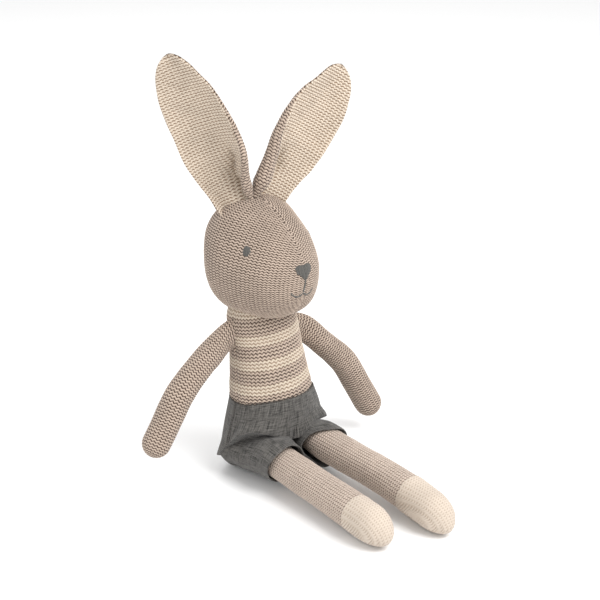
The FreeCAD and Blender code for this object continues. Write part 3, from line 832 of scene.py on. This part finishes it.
def lap_height(turn):
    """Height of the fold where the shorts' body meets the seat and the thighs, all the way round."""
    degrees = np.degrees(turn)
    stations = (-180, -135, -105, -80, -55, -28, -4, 18, 38, 60, 90, 118, 145, 180)
    heights = (13.0, 14.0, 17.0, 35.0, 42.0, 39.5, 30.0, 35.0, 36.5, 30.5, 24.0, 17.5, 14.0, 13.0)
    return profile(degrees, stations, heights)


def shorts_ring(turn, half_width, front, rear, middle, power):
    """A rounded oblong whose front and back halves differ in depth; a power of 2 is an ellipse."""
    sine, cosine = np.sin(turn), np.cos(turn)
    depth = np.where(cosine > 0, front, rear)
    return (half_width * np.sign(sine) * np.abs(sine) ** (2 / power),
            middle - depth * np.sign(cosine) * np.abs(cosine) ** (2 / power))


def shorts_upper(turn, down, lap):
    """From the waist, where down is 0, to the lap, where it is 1, with a lip that overhangs the thighs."""
    sine, cosine = np.sin(turn), np.cos(turn)
    front = 27.6 - 2.0 * down**2 + 1.2 * np.sin(math.pi * down)
    x, y = shorts_ring(turn, 31.7 + 7.0 * down, front, 26.4 + 0.8 * down, -0.6 + 1.6 * down, 2.0 + 0.6 * down)
    right_corner = smooth(down, 0.4, 1.0) * bump(np.degrees(turn), -104, 15) * 2.6
    left_corner = smooth(down, -0.3, 1.1) * bump(np.degrees(turn), 64, 25) * 3.9
    lip = 3.0 * smooth(down, 0.6, 1.0) * smooth(cosine, -0.1, 0.5)
    x = x + np.sign(sine) * (right_corner + left_corner) + lip * sine
    rise = WAIST_RISE * smooth(cosine, 0.0, 1.0) * (1 - down)
    z = WAIST_HEIGHT + rise + (lap - WAIST_HEIGHT) * down
    return np.stack(np.broadcast_arrays(x, y - lip * cosine, z), -1)


def shorts_under(turn, inward, lap, rim):
    """From the lap to the middle of the seat: cut back under the lap in front, and round behind."""
    stations = (0, 0.12, 0.3, 0.55, 0.8, 1.0)
    shrink_front = profile(inward, stations, (1.0, 0.8, 0.7, 0.6, 0.49, 0.36))
    shrink_back = profile(inward, stations, (1.0, 1.0, 0.97, 0.9, 0.78, 0.55))
    sink = profile(inward, stations, (1.0, 0.89, 0.68, 0.42, 0.17, 0.04))
    shrink = shrink_front + (shrink_back - shrink_front) * smooth(-np.cos(turn), 0.0, 0.8)
    middle = np.array([0, 5.0, 0])
    return (rim * [1, 1, 0] - middle) * shrink[..., None] + middle + (lap * sink)[..., None] * [0, 0, 1]


def shorts_body():
    """The shorts without their legs, as one piece of cloth that is closed at the waist and under the seat."""
    cols = 280
    turn = np.linspace(-math.pi, math.pi, cols, endpoint=False)[None]
    down, inward = np.linspace(0, 1, 110)[:, None], np.linspace(0, 1, 90)[1:, None]
    lap = lap_height(turn)
    top = shorts_upper(turn, down, lap)
    points = np.concatenate([top, shorts_under(turn, inward, lap, top[-1:])], 0)
    k = np.r_[down[:, 0] / 2, 0.5 + inward[:, 0] / 2][:, None]  # 0 at the waist, 0.5 at the lap, 1 underneath
    outward = unit((points - [0, 4, 26]) * [1, 1, 0.25])
    folds = 0.7 * ripple(points * [1, 1, 0.5], 24, 50) * smooth(k, 0.04, 0.3)
    front = smooth(np.cos(turn), 0.3, 0.8)
    crease = -2.4 * bump(points[..., 0], -2, 1.8) * front * smooth(k, 0.3, 0.47)
    pulls = 0.55 * np.sin(9 * turn + 14 * k) * smooth(k, 0.3, 0.5) * (1 - smooth(k, 0.55, 0.7))
    side_seam = 0.8 * bump(points[..., 1], -1.8, 1.3) - 1.3 * bump(points[..., 1], 0.4, 0.7)
    side_seam = side_seam * (np.abs(points[..., 0]) > 15) * (1 - smooth(k, 0.5, 0.6))
    points = points + outward * (folds + crease + pulls + side_seam)[..., None]
    steps = np.linalg.norm(np.diff(points, axis=0), axis=2)
    t = np.concatenate([np.zeros((1, cols)), np.cumsum(steps, 0)], 0)
    s = np.linspace(0, SHORTS_GIRTH, cols + 1)[None] + 0 * t[:, :1]
    st = np.stack([s, np.concatenate([t, t[:, :1]], 1)], -1)
    obj = skin("shorts_cloth", points[::-1], st[::-1], grey_weave, 0.0)
    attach(obj, "torso")
    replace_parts(obj, "shorts_panel_front", "shorts_panel_back")


# how the openings are cut back: towards which angle, by how much there, and by how much all round
OPENINGS = {"right": (-60, 5.5, 0.0), "left": (164, 12.5, 4.0)}
SLEEVE_ALONG = (-32, -29, -20, -9, 0, 12, 21.5)  # stations along the leg from the hip, towards the foot
SLEEVE_RADIUS = (1.0, 9.5, 13.8, 15.6, 16.4, 16.0, 15.3)
SLEEVE_OUTWARD = (8.5, 8.5, 5.5, 1.5, 0.0, 0.2, 0.3)
SLEEVE_UP = (-3.9, -3.9, -3.7, -2.6, -0.2, 1.2, 1.4)
SLEEVE_GIRTH = 105.0
HEM_ROWS = 36


def shorts_leg(word, side):
    """A loose cloth tube round the top of the leg, closed inside the shorts, with its hem turned under."""
    pivot, _ = joint(f"hip_{word}")
    way = leg_line(word)[0]
    across = unit(np.cross([0, 0, 1.0], way)) * side
    up = unit(np.cross(way, across)) * side
    up = up * np.sign(up[2])
    rows, cols = 150, 240
    angle = np.linspace(0, TAU, cols, endpoint=False)[None]
    sine, cosine = np.sin(angle), np.cos(angle)
    towards, most, least = OPENINGS[word]
    cut = most * np.maximum(np.cos(angle - math.radians(towards)), 0) ** 1.5 + least
    rear, length = SLEEVE_ALONG[0], SLEEVE_ALONG[-1] - SLEEVE_ALONG[0]
    reach = rear + (length - cut) * np.linspace(0, 1, rows)[:, None]
    radius = profile(reach, SLEEVE_ALONG, SLEEVE_RADIUS)
    base = (pivot + way * reach[..., None] + across * profile(reach, SLEEVE_ALONG, SLEEVE_OUTWARD)[..., None]
            + up * profile(reach, SLEEVE_ALONG, SLEEVE_UP)[..., None])
    below = smooth(-sine, -0.2, 0.8)[..., None]  # the lower half is pulled closer
    around = cosine[..., None] * across * (1.07 - 0.1 * below) + sine[..., None] * up * (0.98 - 0.05 * below)
    folds = 0.5 * np.sin(4 * angle + 0.12 * reach + 2 * side) * smooth(reach, -8, 14)
    stitched = -0.35 * bump(reach, reach[-1:] - 5.5, 0.6)
    points = base + around * (radius + folds + stitched)[..., None]
    points = points + unit(around) * (0.45 * ripple(points, 14, 60 + side))[..., None]
    points[..., 2] = np.maximum(points[..., 2], 1.0)  # kept just above the floor
    hem = (points - unit(around) * 1.0)[::-1][:HEM_ROWS]
    edge = (points[-1:] - unit(around) * 0.5) + way * 0.5
    grid = np.concatenate([points, edge, hem], 0)
    t = np.r_[np.linspace(0, length, rows), length + 0.5, length + 1.5 + np.arange(HEM_ROWS) * 0.36]
    st = np.stack(np.broadcast_arrays(np.linspace(0, SLEEVE_GIRTH, cols + 1)[None], t[:, None]), -1)
    quads, ri, cj = grid_faces(grid.shape[0], cols, True)
    uv = st[ri, cj].reshape(-1, 2)
    obj = mesh_object(f"shorts_leg_{word}_cloth", grid.reshape(-1, 3), quads, grey_weave, uv)
    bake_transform(obj)
    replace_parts(obj, f"shorts_leg_{word}", f"shorts_hem_{word}")


def waist_shade_line():
    """One dark thread that weaves in and out round the join of the shorts and the knitting; its dark colour
    is painted shade in the join.
    """
    turn = np.linspace(0, TAU, 481)
    stitch = 44 * turn
    z = WAIST_HEIGHT - 0.1 + WAIST_RISE * smooth(np.cos(turn), 0.0, 1.0) + 0.3 * np.sin(stitch)
    points = torso_point(turn, z)
    path = points + unit(points * [1, 1, 0]) * (1.0 + 0.25 * np.cos(stitch))[:, None]
    obj = thread_tubes("waist_shade_stitches", [path], 0.55, waist_shade_thread)
    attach(obj, "torso")
    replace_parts(obj, "waist_seam")


for word, side in SIDES:
    eye(word, side)
nose()
mouth()
torso_panel("front", -math.pi / 2)
torso_panel("back", math.pi / 2)
for word, side in SIDES:
    arm(word, side)
    leg(word, side)
    ear(word, -side)
    shorts_leg(word, side)
shorts_body()
waist_shade_line()


# ---------------------------------------------------------------- camera, lights and floor
def towards(azimuth, elevation):
    """The direction from the toy to a camera or a light; azimuth 0 is its front and elevation 0 is level."""
    a, e = math.radians(azimuth), math.radians(elevation)
    return Vector((math.sin(a) * math.cos(e), -math.cos(a) * math.cos(e), math.sin(e)))


def place(name, data, target, direction, distance):
    """A camera or a light that looks at target from a distance."""
    obj = bpy.data.objects.new(name, data)
    bpy.context.scene.collection.objects.link(obj)
    obj.location = target + direction * distance
    obj.rotation_euler = direction.to_track_quat("Z", "Y").to_euler()
    return obj


def camera():
    """Raised, and to the toy's right of its face."""
    data = bpy.data.cameras.new("camera")
    data.lens, data.sensor_width = 100.0, 36.0
    target = Vector((-22.9, -56.8, 150.0)) * MM
    bpy.context.scene.camera = place("camera", data, target, towards(-42.0, 21.5), 1.1)


def light(name, azimuth, elevation, distance, size, power):
    """A soft square light aimed at the middle of the toy."""
    data = bpy.data.lights.new(name, "AREA")
    data.size, data.energy = size, power
    place(name, data, Vector((0.0, -0.02, 0.13)), towards(azimuth, elevation), distance)


def floor():
    """A wide white floor, which belongs to the stage and not to the toy."""
    n = Nodes("floor")
    material = n.finish((0.9, 0.9, 0.9, 1.0), None, 0, 0, 0.9, 0.0)
    half = 3000.0
    corners = [(-half, -half, 0), (half, -half, 0), (half, half, 0), (-half, half, 0)]
    obj = mesh_object("floor", corners, [[0, 1, 2, 3]], material)


def white_room():
    """An even white surrounding."""
    world = bpy.data.worlds.new("world")
    world.use_nodes = True
    background = world.node_tree.nodes["Background"]
    background.inputs["Color"].default_value = (1.0, 1.0, 1.0, 1.0)
    background.inputs["Strength"].default_value = 0.9
    bpy.context.scene.world = world
    bpy.context.scene.view_settings.view_transform = "Standard"


camera()
floor()
light("key", 12, 48, 1.3, 0.7, 14.0)
light("fill", -75, 25, 1.6, 1.4, 5.0)
light("rim", 150, 50, 1.5, 0.9, 6.0)
white_room()
